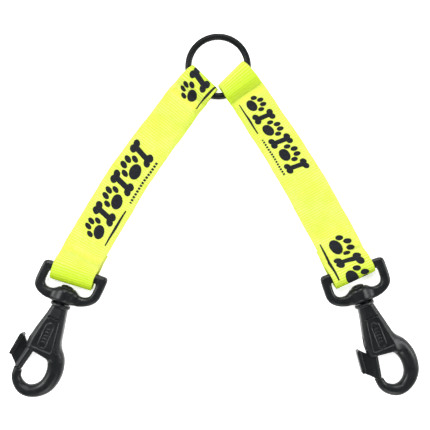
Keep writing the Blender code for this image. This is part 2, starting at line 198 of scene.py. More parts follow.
def moulded_plastic(name, tone):
    """Black acetal: satin, faintly grained; painted highlight, partly rubbed wear, on its edges, and
    painted shade in its creases.
    """
    p = Paint(name, (tone, tone, tone), 0.35, Specular_IOR_Level=0.24)
    fine = p.noise(1500.0, 4.0)
    broad = p.noise(90.0, 3.0)
    point = p.node("ShaderNodeNewGeometry").outputs["Pointiness"]
    # Edges that stand out are painted paler: a painted highlight, partly rubbed wear.
    edge = p.ramp(point, 0.53, 0.64)
    # Hollows get painted shade.
    crease_shade = p.ramp(point, 0.40, 0.495, 1.0, 0.0)
    wear_and_highlight = p.math("MULTIPLY", edge, p.ramp(broad, 0.3, 0.7, 0.2, 0.8))
    dark = (tone, tone * 1.2, tone * 1.3)
    faded = (tone * 1.5, tone * 1.8, tone * 2.0)
    # Painted highlight colour for the edges, partly rubbed wear.
    rubbed_and_highlight = (tone * 9.0, tone * 9.6, tone * 10.0)
    # Painted shade colour for the creases.
    deep = (tone * 0.2, tone * 0.2, tone * 0.2)
    base = p.mix(p.ramp(broad, 0.3, 0.7), dark, faded)
    # Painted highlight, partly wear, on the edges.
    base = p.mix(wear_and_highlight, base, rubbed_and_highlight)
    # Painted shade in the creases.
    p.set("Base Color", p.mix(crease_shade, base, deep))
    p.set("Roughness", p.ramp(p.noise(320.0, 4.0), 0.3, 0.7, 0.27, 0.39))
    p.bump(fine, 0.12, 0.00012)
    return p.material


def coated_steel(name):
    """Black coating on the steel ring, with fine rub marks."""
    p = Paint(name, (0.004, 0.005, 0.006), 0.35, Specular_IOR_Level=0.13)
    rub = p.noise(700.0, 5.0)
    broad = p.noise(60.0, 2.0)
    marks = p.math("MULTIPLY", p.ramp(rub, 0.62, 0.72), p.ramp(broad, 0.45, 0.65))
    p.set("Base Color", p.mix(marks, (0.002, 0.0025, 0.003), (0.008, 0.009, 0.010)))
    p.set("Roughness", p.ramp(rub, 0.3, 0.7, 0.30, 0.42))
    p.bump(p.noise(1100.0, 3.0), 0.06, 0.0001)
    return p.material


def spring_steel(name):
    """Bright drawn wire."""
    p = Paint(name, (0.45, 0.45, 0.46), 0.3, Metallic=1.0)
    rub = p.noise(2500.0, 3.0)
    p.set("Base Color", p.mix(p.ramp(rub, 0.3, 0.7), (0.36, 0.36, 0.37), (0.55, 0.55, 0.56)))
    p.set("Roughness", p.ramp(rub, 0.3, 0.7, 0.22, 0.38))
    return p.material


def woven(name):
    """Neon polyester webbing: ribs across it, fine cords along it, painted shade in rib valleys, cord
    gaps and folds, black ink on top.
    """
    p = Paint(name, (0.62, 0.72, 0.04), 0.62, Specular_IOR_Level=0.16)
    pale_yarn, warm_yarn = (0.56, 0.565, 0.125), (0.60, 0.58, 0.20)
    # The second colour here is painted shade, laid on near the folds and on the curled inner edge.
    strand, web_shade_colour = (0.47, 0.54, 0.02), (0.32, 0.48, 0.005)
    # Painted shade colours: for the valleys between ribs, and for the gaps between cords.
    rib_valley_shade, cord_gap_shade = (0.34, 0.52, 0.004), (0.36, 0.48, 0.008)
    cord_width = 0.8
    place = p.stored("web").outputs["Vector"]
    parts = p.node("ShaderNodeSeparateXYZ", {0: place}).outputs
    along, across, relief = parts[0], parts[1], parts[2]

    # Cords run side by side along the webbing, and every other one is half a pick ahead.
    column = p.math("DIVIDE", across, cord_width)
    odd = p.math("MODULO", p.math("FLOOR", p.math("ADD", column, 100.0)), 2.0)
    cord = p.math("ABSOLUTE", p.math("SINE", p.math("MULTIPLY", column, math.pi)))
    step = p.math("ADD", p.math("DIVIDE", along, RIB), p.math("MULTIPLY", odd, 0.5))
    pick = p.math("ABSOLUTE", p.math("SINE", p.math("MULTIPLY", step, math.pi)))
    weave = p.math("MULTIPLY", p.math("POWER", cord, 0.6), p.math("POWER", pick, 0.5))
    # The gaps between cords get painted shade.
    gap_shade = p.math("SUBTRACT", 1.0, weave)
    rib = p.math("COSINE", p.math("MULTIPLY", along, FULL_TURN / RIB))
    # Painted shade in the valleys between ribs, deeper where the ribs stand up more.
    valley_shade = p.math("MULTIPLY", p.ramp(rib, -1.0, 0.3, 1.0, 0.0), relief)

    fibre = p.noise(2.2, 3.0, place)
    broad = p.noise(0.07, 2.0, place)
    yarn = p.mix(p.ramp(broad, 0.3, 0.7), pale_yarn, warm_yarn)
    yarn = p.mix(p.math("MULTIPLY", p.ramp(fibre, 0.35, 0.65), 0.5), yarn, strand)
    # Painted shade near the folds, in a band and on the curled inner edge, read from a stored mask.
    yarn = p.mix(p.stored("tint").outputs["Fac"], yarn, web_shade_colour)
    # Painted shade in the rib valleys.
    yarn = p.mix(p.math("MULTIPLY", valley_shade, 0.9), yarn, rib_valley_shade)
    # Painted shade in the gaps between cords.
    yarn = p.mix(p.math("MULTIPLY", gap_shade, 0.65), yarn, cord_gap_shade)

    missed = p.math("MULTIPLY", p.ramp(fibre, 0.62, 0.80), 0.12)
    covered = p.math("MULTIPLY", p.inked(), p.math("SUBTRACT", 1.0, missed))
    black = p.mix(p.ramp(fibre, 0.3, 0.7), INK_BLACK, INK_GREY)
    p.set("Base Color", p.mix(covered, yarn, black))
    p.set("Roughness", p.ramp(weave, 0.0, 1.0, 0.80, 0.55, smooth=False))
    height = p.math("ADD", weave, p.math("MULTIPLY", fibre, 0.35))
    p.bump(height, 0.8, 0.00012)
    return p.material


def thread(name):
    """Filament sewing thread, twisted, a shade deeper than the webbing."""
    p = Paint(name, (0.65, 0.71, 0.08), 0.5, Specular_IOR_Level=0.16)
    grain = p.noise(3500.0, 2.0)
    yarn = p.mix(p.ramp(grain, 0.3, 0.7), (0.60, 0.68, 0.06), (0.70, 0.74, 0.10))
    p.set("Base Color", p.mix(p.inked(), yarn, INK_GREY))
    p.set("Roughness", p.ramp(grain, 0.3, 0.7, 0.38, 0.55))
    p.bump(grain, 0.4, 0.00005)
    return p.material


def floor_finish(name):
    """Matt white board that glows a little, so that it stays white under the object."""
    p = Paint(name, (0.93, 0.93, 0.93), 0.8, Emission_Strength=0.6)
    p.set("Emission Color", (1.0, 1.0, 1.0, 1.0))
    mottle = p.noise(9.0, 2.0)
    p.set("Base Color", p.mix(mottle, (0.93, 0.93, 0.93), (0.945, 0.945, 0.945)))
    return p.material


# ---------------------------------------------------------------- meshes


def new_object(name, verts, faces, material):
    """A smooth-shaded object whose mesh is given in millimetres."""
    mesh = bpy.data.meshes.new(name)
    mesh.from_pydata(np.asarray(verts, float) * MM, [], [list(face) for face in faces])
    mesh.polygons.foreach_set("use_smooth", [True] * len(mesh.polygons))
    mesh.materials.append(material)
    mesh.validate()
    made = bpy.data.objects.new(name, mesh)
    bpy.context.scene.collection.objects.link(made)
    return made


def store(piece, name, kind, field, values):
    """Give each point of a piece a number or vector that its material reads."""
    held = piece.data.attributes.new(name, kind, "POINT")
    held.data.foreach_set(field, np.asarray(values, np.float32).ravel())


def rows_to_faces(rows, size, closed_rows=False):
    """Quads between closed rows of equal size, and from the last row to the first if asked."""
    i = np.arange(rows if closed_rows else rows - 1)
    k = np.arange(size)
    a = (i[:, None] * size + k[None, :]).ravel()
    b = (i[:, None] * size + (k[None, :] + 1) % size).ravel()
    c = (((i[:, None] + 1) % rows) * size + (k[None, :] + 1) % size).ravel()
    d = (((i[:, None] + 1) % rows) * size + k[None, :]).ravel()
    return np.stack([a, b, c, d], axis=1)


def smooth_rows(points, per_span, closed=False):
    """Catmull-Rom through rows of numbers."""
    rows = np.array(points, dtype=float)
    if closed:
        rows = np.vstack([rows[-1], rows, rows[0], rows[1]])
    else:
        rows = np.vstack([2 * rows[0] - rows[1], rows, 2 * rows[-1] - rows[-2]])
    made = []
    for i in range(1, len(rows) - 2):
        a, b, c, d = rows[i - 1 : i + 3]
        for k in range(per_span):
            t = k / per_span
            curve = 2 * b + (c - a) * t + (2 * a - 5 * b + 4 * c - d) * t * t
            made.append(0.5 * (curve + (3 * b - a - 3 * c + d) * t**3))
    if not closed:
        made.append(rows[-2])
    return np.array(made)


def soft_min(a, b, k):
    """The smaller of two fields, with their crossing filled to a round of about k."""
    h = np.clip(0.5 + 0.5 * (b - a) / k, 0, 1)
    return b * (1 - h) + a * h - k * h * (1 - h)


def soft_max(a, b, k):
    """The larger of two fields, with their crossing rounded off."""
    return -soft_min(-a, -b, k)


def rounded(a, b, radius):
    """Where both fields are negative, with the edge between them rounded."""
    a = a + radius
    b = b + radius
    return np.hypot(np.maximum(a, 0), np.maximum(b, 0)) + np.minimum(np.maximum(a, b), 0) - radius


def outline_field(u, v, outline):
    """Signed distance to a closed outline in the plane, negative inside."""
    nearest = np.full(np.broadcast(u, v).shape, 1e9)
    inside = np.zeros(nearest.shape, bool)
    for p, q in zip(outline, np.roll(outline, -1, axis=0)):
        ex, ey = q - p
        wx, wy = u - p[0], v - p[1]
        t = np.clip((wx * ex + wy * ey) / (ex * ex + ey * ey), 0, 1)
        nearest = np.minimum(nearest, (wx - ex * t) ** 2 + (wy - ey * t) ** 2)
        if abs(ey) > 1e-12:
            crosses = ((p[1] > v) != (q[1] > v)) & (u < p[0] + ex * (v - p[1]) / ey)
            inside ^= crosses
    return np.where(inside, -1.0, 1.0) * np.sqrt(nearest)


def slab(flat, w, half, radius):
    """A flat shape given depth, with rounded rims."""
    return rounded(flat, np.abs(w) - half, radius)


def path_field(u, v, w, path):
    """A tube of changing oval section along a path of rows (u, v, in-plane radius, depth radius)."""
    power = 2.3
    shape = np.broadcast(u, v).shape
    best = np.full(shape, 1e9)
    far = np.zeros(shape)
    wide = np.ones(shape)
    deep = np.ones(shape)
    for p, q in zip(path[:-1], path[1:]):
        ex, ey = q[0] - p[0], q[1] - p[1]
        t = np.clip(((u - p[0]) * ex + (v - p[1]) * ey) / (ex * ex + ey * ey), 0, 1)
        d = np.hypot(u - p[0] - t * ex, v - p[1] - t * ey)
        a = p[2] + t * (q[2] - p[2])
        closer = d - a < best
        best = np.where(closer, d - a, best)
        far = np.where(closer, d, far)
        wide = np.where(closer, a, wide)
        deep = np.where(closer, p[3] + t * (q[3] - p[3]), deep)
    ratio = ((far / wide) ** power + (np.abs(w) / deep) ** power) ** (1 / power)
    return (ratio - 1) * np.minimum(wide, deep)


def net(field, low, high, pitch):
    """The surface where a field is zero, as points and quads, pulled onto it and then eased."""
    axes = [np.arange(a, b + pitch, pitch) for a, b in zip(low, high)]
    u, v, w = axes[0][:, None, None], axes[1][None, :, None], axes[2][None, None, :]
    values = np.broadcast_to(field(u, v, w), [len(a) for a in axes])
    cells = np.array(values.shape) - 1
    total = np.zeros((int(np.prod(cells)), 3))
    count = np.zeros(int(np.prod(cells)))
    edges = []
    for axis in range(3):
        first = np.moveaxis(values, axis, 0)[:-1]
        second = np.moveaxis(values, axis, 0)[1:]
        where = np.nonzero((first < 0) != (second < 0))
        a, b = first[where], second[where]
        spot = np.stack(np.insert(np.stack(where[1:]), axis, where[0], axis=0), axis=1)
        point = spot.astype(float)
        point[:, axis] += a / (a - b)
        one, two = [k for k in range(3) if k != axis]
        around = []
        for d_one, d_two in ((-1, -1), (0, -1), (0, 0), (-1, 0)):
            cell = spot.copy()
            cell[:, one] += d_one
            cell[:, two] += d_two
            flat = np.ravel_multi_index(tuple(cell.T), tuple(cells))
            around.append(flat)
            count += np.bincount(flat, minlength=len(count))
            for k in range(3):
                total[:, k] += np.bincount(flat, weights=point[:, k], minlength=len(count))
        quad = np.stack(around, axis=1)
        flip = (a < 0) if axis != 1 else (a >= 0)
        quad[~flip] = quad[~flip][:, ::-1]
        edges.append(quad)
    used = count > 0
    index = np.cumsum(used) - 1
    points = total[used] / count[used][:, None] * pitch + np.array(low)
    quads = index[np.concatenate(edges)]
    for _ in range(3):
        points = pulled(field, points, pitch)
    for _ in range(2):
        points = eased(points, quads)
    return points, quads


def eased(points, quads):
    """Each point goes halfway to the middle of its neighbours, which softens moulded edges."""
    first = quads.ravel()
    second = np.roll(quads, -1, axis=1).ravel()
    ends = np.concatenate([first, second])
    others = np.concatenate([second, first])
    tally = np.bincount(ends, minlength=len(points))
    middle = [np.bincount(ends, weights=points[others, k], minlength=len(points)) for k in range(3)]
    return 0.5 * points + 0.5 * np.stack(middle, axis=1) / tally[:, None]


def pulled(field, points, pitch):
    """Each point takes one step towards the zero surface, of about a third of the pitch at most."""
    probe = 0.04
    here = field(*points.T)
    slope = np.zeros_like(points)
    for k in range(3):
        shift = np.zeros(3)
        shift[k] = probe
        slope[:, k] = (field(*(points + shift).T) - field(*(points - shift).T)) / (2 * probe)
    size = np.maximum((slope**2).sum(axis=1), 0.2)
    step = -(here / size)[:, None] * slope
    reach = np.linalg.norm(step, axis=1)
    step *= np.minimum(1.0, 0.35 * pitch / np.maximum(reach, 1e-9))[:, None]
    return points + step


def capped(rows, size):
    """The faces of a closed tube of rows: its wall, and a face over each end."""
    faces = rows_to_faces(rows, size)[:, ::-1].tolist()
    faces.append(list(range(size)))
    faces.append(list(range((rows - 1) * size, rows * size))[::-1])
    return faces


def turned(profile):
    """A solid of revolution about +Y from (radius, y) rows, with small flat ends."""
    steps = 64
    rows = rounded_corners(profile)
    angle = np.arange(steps) * FULL_TURN / steps
    verts = []
    for radius, y in rows:
        ring = np.stack([radius * np.cos(angle), np.full(steps, y), radius * np.sin(angle)], 1)
        verts.append(ring)
    return np.concatenate(verts), capped(len(rows), steps)


def rounded_corners(profile):
    """Cut each corner of a profile into a small round."""
    rows = [np.array(profile[0], float)]
    for a, b, c in zip(profile[:-2], profile[1:-1], profile[2:]):
        a, b, c = (np.array(x, float) for x in (a, b, c))
        cut = min(0.3, 0.4 * np.linalg.norm(b - a), 0.4 * np.linalg.norm(c - b))
        p = b + (a - b) / np.linalg.norm(a - b) * cut
        q = b + (c - b) / np.linalg.norm(c - b) * cut
        for t in (0.0, 0.33, 0.67, 1.0):
            rows.append((1 - t) ** 2 * p + 2 * t * (1 - t) * b + t * t * q)
    rows.append(np.array(profile[-1], float))
    return rows


def tube(points, radius, sides):
    """A round tube along points, closed at its ends. It must not start straight upwards."""
    points = np.asarray(points, float)
    ahead = np.gradient(points, axis=0)
    ahead /= np.linalg.norm(ahead, axis=1)[:, None]
    normal = np.cross(ahead[0], (0.0, 0.0, 1.0))
    verts = []
    for here, d in zip(points, ahead):
        normal = normal - d * (normal @ d)
        normal /= np.linalg.norm(normal)
        other = np.cross(d, normal)
        for k in range(sides):
            angle = FULL_TURN * k / sides
            verts.append(here + radius * (normal * math.cos(angle) + other * math.sin(angle)))
    return np.array(verts), capped(len(points), sides)


# ---------------------------------------------------------------- snap hook


def bolt_axes(u, v):
    """Across and along the bolt's line."""
    c, s = math.cos(BOLT_LEAN), math.sin(BOLT_LEAN)
    du, dv = u - BOLT_FOOT[0], v - BOLT_FOOT[1]
    return du * c - dv * s, du * s + dv * c


def hook_path():
    """The hook's arc from the housing round to the tip: u, v, radius in plane, radius in depth."""
    # The arc runs on a little past TIP_AT, where hook_field cuts it off square.
    spare = 1.0
    tip_u = BOLT_FOOT[0] + (TIP_AT + spare) * math.sin(BOLT_LEAN)
    tip_v = BOLT_FOOT[1] + (TIP_AT + spare) * math.cos(BOLT_LEAN)
    rows = (
        (2.0, -22.5, 3.2, 3.4),
        (6.2, -27.2, 4.5, 4.3),
        (9.8, -32.0, 5.2, 4.6),
        (11.9, -37.5, 5.0, 4.5),
        (12.2, -43.0, 4.8, 4.4),
        (10.9, -48.6, 4.5, 4.2),
        (7.6, -53.0, 4.1, 4.0),
        (3.0, -55.7, 3.8, 3.7),
        (-1.5, -56.0, 3.6, 3.5),
        (-5.6, -53.9, 3.2, 3.1),
        (-8.4, -50.2, 2.8, 2.8),
        (tip_u, tip_v, 2.55, 2.55),
    )
    return smooth_rows(rows, 6)


HOOK_PATH = hook_path()

# The housing at each v: its left and right walls, half its depth, and how much its bevels take.
WALL_V = (-36.0, -31.0, -24.6, -18.0, -8.0, -3.0, 0.0)
WALL_LEFT = (-9.8, -9.9, -9.7, -8.35, -5.7, -4.7, -4.4)
WALL_RIGHT = (10.0, 9.9, 9.6, 8.3, 6.2, 5.1, 4.6)
WALL_HALF = (5.8, 5.8, 5.75, 5.5, 5.1, 4.6, 4.3)
WALL_BEVEL = (2.7, 2.7, 2.6, 2.4, 2.0, 1.7, 1.5)


def housing(u, v, face):
    """The tapered box that holds the bolt. Face is the distance to its broad faces."""
    taper = 0.98
    from_left = (np.interp(v, WALL_V, WALL_LEFT) - u) * taper
    from_right = (u - np.interp(v, WALL_V, WALL_RIGHT)) * taper
    body = soft_max(soft_max(from_left, from_right, 0.3), face, 0.6)
    bevel = np.maximum(from_left, from_right) + face + np.interp(v, WALL_V, WALL_BEVEL)
    body = soft_max(body, bevel * 0.7071, 0.7)
    slanted_end = (-31.3 - (u + 9.8) * 0.14 - v) * 0.99
    neck_end = v + 0.9
    return soft_max(soft_max(body, slanted_end, 1.6), neck_end, 0.6)


def carved(solid, u, v, face):
    """The solid with a long tapered panel and a cross groove sunk into each broad face."""
    panel_depth, groove_depth, edge = 0.38, 0.75, 0.25
    left = np.interp(v, (-29.5, -9.6), (-6.7, -3.2)) - u
    right = u - np.interp(v, (-29.5, -9.6), (6.7, 3.9))
    ends = soft_max(v + 9.8, -29.3 - v, 0.5)
    panel = soft_max(soft_max(left, right, 0.5), ends, 1.2)
    recess = np.maximum(panel, -(face + panel_depth))
    groove = np.maximum(np.abs(v + 9.3) - 0.3, np.abs(u - 0.3) - 3.9)
    groove = np.maximum(groove, -(face + groove_depth))
    return soft_max(soft_max(solid, -recess, edge), -groove, edge)


def badge(u, v, face):
    """A plain raised lozenge with short bars, in place of any lettering on the panel."""
    centre, bar_step = -20.6, 2.0
    along = np.abs(v - centre)
    middle = u + 0.05 - (v - centre) * 0.02
    oval = np.hypot(np.maximum(along - 5.2, 0), middle) - 2.5
    rim = np.abs(oval) - 0.32
    from_bar = np.abs(((v - centre + bar_step / 2) % bar_step) - bar_step / 2)
    bars = np.maximum(from_bar - 0.36, np.abs(middle) - 1.2)
    bars = np.maximum(bars, along - 5.4)
    shape = np.minimum(rim, bars)
    return np.maximum(shape, np.maximum(face + 0.12, -(face + 0.8)))


def hook_field(u, v, w):
    """The hook body: housing, arc and collar, less the bolt's channel and slot and the pin's bore."""
    face = np.abs(w) - np.interp(v, WALL_V, WALL_HALF)
    p, t = bolt_axes(u, v)
    arc = path_field(u, v, w, HOOK_PATH)
    near_tip = (u < -3.0) & (v > -51.0)
    arc = np.where(near_tip, soft_max(arc, t - TIP_AT, 0.5), arc)
    solid = soft_min(housing(u, v, face), arc, 2.4)
    from_pin = np.hypot(u, w)
    collar = soft_max(from_pin - 6.0, np.abs(v + 1.1) - 0.9, 0.5)
    solid = soft_min(solid, collar, 0.35)
    solid = soft_min(carved(solid, u, v, face), badge(u, v, face), 0.12)
    channel = np.maximum(np.hypot(p, w) - CHANNEL_R, np.maximum(CHANNEL_LOW - t, t - CHANNEL_TOP))
    slot = np.maximum(np.maximum(np.abs(w) - SLOT_HALF, p), np.maximum(CHANNEL_LOW - t, t - SLOT_TOP))
    bore = np.maximum(from_pin - 2.35, -8.3 - v)
    hollow = np.minimum(np.minimum(channel, slot), bore)
    return soft_max(solid, -hollow, 0.3)


def eye_outlines():
    """The outer and inner edges of the eye, each drawn for one half and mirrored."""
    outer = (
        (0.0, 23.0), (9.0, 23.0), (16.0, 23.0), (18.4, 22.8), (19.7, 21.8), (20.15, 19.8),
        (20.25, 16.0), (20.25, 12.0), (20.1, 9.4), (19.4, 6.9), (18.1, 5.1), (16.2, 3.5),
        (14.0, 2.3), (11.6, 1.45), (9.2, 0.95), (6.0, 0.85), (3.0, 0.85),
    )
    inner = (
        (0.0, 17.5), (8.0, 17.5), (12.6, 17.5), (14.2, 17.2), (14.75, 15.8), (14.75, 13.4),
        (14.7, 11.4), (14.2, 9.5), (13.0, 8.1), (11.4, 7.45), (9.6, 7.3), (7.8, 7.55), (5.0, 8.0),
    )
    made = []
    for half in (outer, inner):
        mirrored = [(-u, v) for u, v in reversed(half) if u > 0]
        made.append(smooth_rows(list(half) + [(0.0, half[-1][1])] + mirrored, 3, closed=True))
    return made


EYE_OUTER, EYE_INNER = eye_outlines()


def eye_field(u, v, w):
    """The eye: a rounded frame with a boss round the pin, and the pin's bore."""
    flat = np.maximum(outline_field(u, v, EYE_OUTER), -outline_field(u, v, EYE_INNER))
    bars = slab(flat, w, 2.75, 1.9)
    from_pin = np.hypot(u, w)
    boss = rounded(from_pin - 6.0, np.maximum(0.9 - v, v - 9.75), 2.2)
    solid = soft_min(bars, boss, 3.0)
    return soft_max(solid, 2.95 - from_pin, 0.4)


# The bolt's thumb tab in outline: the thin fin through the slot, and the thicker rail outside it.
FIN = np.array(
    ((0.0, -12.4), (0.0, 3.0), (-4.9, 3.0), (-7.9, 5.3), (-9.6, 4.4), (-8.3, -8.4), (-2.1, -12.4))
)
RAIL = np.array(
    ((-7.7, 5.0), (-8.5, 6.1), (-9.5, 6.0), (-10.3, 4.8), (-9.2, -8.0), (-8.5, -8.6), (-6.9, -8.0))
)


def bolt_field(p, t, w):
    """The bolt drawn about its own line: across, along, depth."""
    middle, half = (BOLT_LOW + BOLT_HIGH) / 2, (BOLT_HIGH - BOLT_LOW) / 2
    rod = rounded(np.hypot(p, w) - ROD_R, np.abs(t - middle) - half, 0.5)
    fin = slab(outline_field(p, t, FIN), w, 1.2, 0.35)
    grip_depth, grip_step = 0.16, 1.5
    grip = grip_depth * np.cos(t * FULL_TURN / grip_step) * (p < -8.2)
    rail = slab(outline_field(p, t, RAIL) + np.maximum(grip, 0), w, 3.4, 0.6)
    return soft_min(soft_min(rod, fin, 0.5), rail, 0.5)


def snap_matrix(pivot, turn):
    """From a snap's own axes to the ground, with the snap turned about its pivot."""
    place = Matrix.Translation(BASE + Vector((pivot[0], pivot[1], HOOK_Z)) * MM)
    place = place @ Matrix.Rotation(math.radians(turn), 4, "Z")
    return place @ Matrix.Translation((0, -PIVOT_V * MM, 0))


def bolt_matrix():
    """From the bolt's own axes to the snap's."""
    place = Matrix.Translation(Vector((BOLT_FOOT[0], BOLT_FOOT[1], 0.0)) * MM)
    return place @ Matrix.Rotation(-BOLT_LEAN, 4, "Z")


def spring_points():
    """The spring behind the bolt: seven turns on the bolt's line."""
    radius, foot, length, per_turn = 1.55, 8.35, 13.5, 24
    steps = 7 * per_turn
    k = np.arange(steps + 1)
    turn = FULL_TURN * k / per_turn
    height = foot + length * k / steps
    return np.stack([radius * np.cos(turn), height, radius * np.sin(turn)], axis=1)


def make_snap_meshes(paints):
    """One mesh of each piece, shared by both snaps."""
    made = {}
    points, quads = net(hook_field, (-12.6, -61.0, -6.6), (18.2, 0.6, 6.6), 0.3)
    made["hook_body"] = new_object("hook_body_form", points, quads, paints["hook"])
    points, quads = net(eye_field, (-21.2, -1.6, -7.4), (21.2, 24.0, 7.4), 0.3)
    made["swivel_eye"] = new_object("swivel_eye_form", points, quads, paints["eye"])
    points, quads = net(bolt_field, (-11.4, -13.9, -4.2), (3.1, 8.9, 4.2), 0.22)
    made["bolt"] = new_object("bolt_form", points, quads, paints["bolt"])
    shank = ((0.3, -8.0), (1.9, -8.0), (2.3, -7.6), (2.3, 9.85), (3.9, 9.85))
    turns = (0.0, 0.25, 0.5, 0.75, 1.0, 1.25, 1.45)
    head_r, head_low, head_rise = 4.0, 9.95, 1.55
    dome = [(head_r * math.cos(a), head_low + head_rise * math.sin(a)) for a in turns]
    verts, faces = turned((*shank, *dome, (0.2, head_low + head_rise)))
    made["swivel_pin"] = new_object("swivel_pin_form", verts, faces, paints["pin"])
    verts, faces = tube(spring_points(), 0.3, 8)
    made["spring"] = new_object("spring_form", verts, faces, paints["spring"])
    return made


def eye_skew(amount):
    """Shifts each row of the eye sideways in step with its distance from the pivot."""
    skew = Matrix.Identity(4)
    skew[0][1] = amount
    skew[0][3] = -amount * PIVOT_V * MM
    return skew


def place_snap(side, pivot, eye_turn, hook_turn, forms):
    """One snap's five pieces, each a copy of its shared form put in its place."""
    hook_here = snap_matrix(pivot, hook_turn)
    eye_here = snap_matrix(pivot, eye_turn) @ eye_skew(EYE_SKEW[side])
    bolt_here = hook_here @ bolt_matrix()
    rows = (
        ("hook_body", hook_here, "_snap", "hook"),
        ("swivel_pin", hook_here, "_snap", "pin"),
        ("swivel_eye", eye_here, "_eye", "hook"),
        ("bolt", bolt_here, "_plunger", "bolt"),
        ("spring", bolt_here, "_snap", "spring"),
    )
    for part, place, body, slot in rows:
        data = forms[part].data.copy()
        data.transform(place)
        piece = bpy.data.objects.new(f"{side}_{part}_look", data)
        bpy.context.scene.collection.objects.link(piece)
        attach(piece, side + body)
        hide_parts(f"{side}_{part}")
        if part == "spring":
            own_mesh(piece)


# ---------------------------------------------------------------- webbing


class Arm:
    """An arm's centre line, by the length along it from the fold at the ring."""

    def __init__(self, line):
        points = []
        for start, end in zip(line[:-1], line[1:]):
            points.append(self.span(np.array(start), np.array(end)))
        points.append(np.array([line[-1][:2]]))
        self.points = np.concatenate(points)
        steps = np.linalg.norm(np.diff(self.points, axis=0), axis=1)
        self.lengths = np.concatenate([[0.0], np.cumsum(steps)])
        self.length = float(self.lengths[-1])

    @staticmethod
    def span(start, end):
        """A smooth curve between two rows of x, y and heading."""
        steps = 40
        a, b = start[:2], end[:2]
        reach = np.linalg.norm(b - a)
        ta = reach * np.array([math.sin(math.radians(start[2])), -math.cos(math.radians(start[2]))])
        tb = reach * np.array([math.sin(math.radians(end[2])), -math.cos(math.radians(end[2]))])
        t = (np.arange(steps) / steps)[:, None]
        first = (2 * t**3 - 3 * t * t + 1) * a + (t**3 - 2 * t * t + t) * ta
        return first + (3 * t * t - 2 * t**3) * b + (t**3 - t * t) * tb

    def at(self, s):
        """The place on the centre line at a length."""
        x = np.interp(s, self.lengths, self.points[:, 0])
        y = np.interp(s, self.lengths, self.points[:, 1])
        return np.stack([x, y], axis=-1)

    def direction(self, s):
        """Which way the arm runs, taken over a short chord round the place."""
        chord = 1.6
        low = np.clip(np.asarray(s, float) - chord / 2, 0.0, self.length - chord)
        ahead = self.at(low + chord) - self.at(low)
        return ahead / np.linalg.norm(ahead, axis=-1, keepdims=True)

    def across(self, s):
        """A quarter turn to the left of the direction."""
        d = self.direction(s)
        return np.stack([-d[..., 1], d[..., 0]], axis=-1)

    def half(self, s):
        """Half the webbing's width."""
        return np.interp(s, *HALF_WIDTHS)


def bend(centre, radius, start, end, steps):
    """Rows of a profile that follow a circle from one angle to another, in degrees."""
    angle = np.radians(np.linspace(start, end, steps + 1))
    return [(centre[0] + radius * math.cos(a), centre[1] + radius * math.sin(a)) for a in angle]


def ring_profile(wire_at, middle):
    """The webbing's run as (length, height): from its sewn end, round the ring, to mid-arm."""
    rows = [(25.5, 0.85), (22.8, 1.15), (20.9, 1.35), (15.6, 1.35), (13.0, 1.1), (9.5, 0.76)]
    rows += bend((3.8, RING_Z), 3.05, 270, 90, 8)
    rows += bend((wire_at, RING_Z), 3.05, 90, 48, 3)
    rows += [(wire_at + 4.2, 4.35), (wire_at + 5.2, 3.5), (15.9, 3.15), (20.9, 3.15)]
    rows += [(23.7, 2.85), (27.5, 2.6), (31.0, 1.9), (34.0, 1.15), (37.0, 0.8), (40.0, 0.75)]
    rows += [(s, 0.75) for s in np.linspace(46.0, middle, 5)]
    return rows


def hook_profile(length, middle):
    """The same from the sewn end by the snap, round the eye's bar, to mid-arm."""
    rows = [(25.5, 0.85), (23.7, 1.2), (21.6, 1.8), (16.3, 1.8), (13.0, 1.4), (9.0, 0.8)]
    rows += bend((5.3, 5.3), 4.55, 270, 90, 8)
    rows += bend((8.9, HOOK_Z), 3.8, 90, 40, 3)
    rows += [(14.3, 5.45), (15.3, 4.35), (16.8, 3.6), (21.8, 3.6), (24.2, 2.95)]
    rows += [(27.5, 2.6), (31.0, 1.9), (34.0, 1.15), (37.0, 0.8), (40.0, 0.75)]
    rows += [(s, 0.75) for s in np.linspace(46.0, length - middle, 5)]
    return rows


def paw(x, y, size):
    """Distance to a paw print: a pad and four toes."""
    pads = ((0.0, -1.7, 2.7, 2.1), (-2.95, 0.9, 0.95, 1.35), (-1.15, 2.9, 1.0, 1.45))
    pads += ((1.15, 2.9, 1.0, 1.45), (2.95, 0.9, 0.95, 1.35))
    best = np.full(np.shape(x), 1e9)
    for cx, cy, rx, ry in pads:
        px, py = x / size - cx, y / size - cy
        ratio = np.hypot(px / rx, py / ry)
        best = np.minimum(best, (ratio - 1) * min(rx, ry) * size)
    return best


def bone(x, y, half, thick):
    """Distance to a bone standing upright."""
    shaft = np.maximum(np.abs(x) - thick, np.abs(y) - half)
    best = shaft
    for sx in (-1, 1):
        for sy in (-1, 1):
            knob = np.hypot(x - sx * thick * 1.05, y - sy * half) - thick * 1.3
            best = np.minimum(best, knob)
    return best


def motif(x, y):
    """A printed band of paws and bones, with a row of dashes and a tapering stripe below it."""
    lean = x - 0.22 * y
    best = np.full(np.shape(x), 1e9)
    place = 0.0
    for k in range(6):
        rise, size = y - 0.9 - 0.16 * k, 1.0 + 0.025 * k
        if k % 2 == 0:
            best = np.minimum(best, paw(lean - place - 6.4, rise, 1.62 * size))
            place += 12.9
        else:
            best = np.minimum(best, bone(lean - place - 4.2, rise, 5.3 * size, 1.75))
            place += 8.5
    below, dash_step = np.abs(y + 9.2), 2.1
    dash = np.abs(((x - 30.0) % dash_step) - dash_step / 2) - 0.72
    dash = np.maximum(np.maximum(dash, below - 0.8), np.abs(x - 46.0) - 15.2)
    stripe = below - np.clip(0.85 - 0.035 * np.abs(x - 14.0), 0.05, 1.0)
    stripe = np.maximum(stripe, np.abs(x - 13.0) - 12.5)
    return np.minimum(np.minimum(best, dash), stripe)


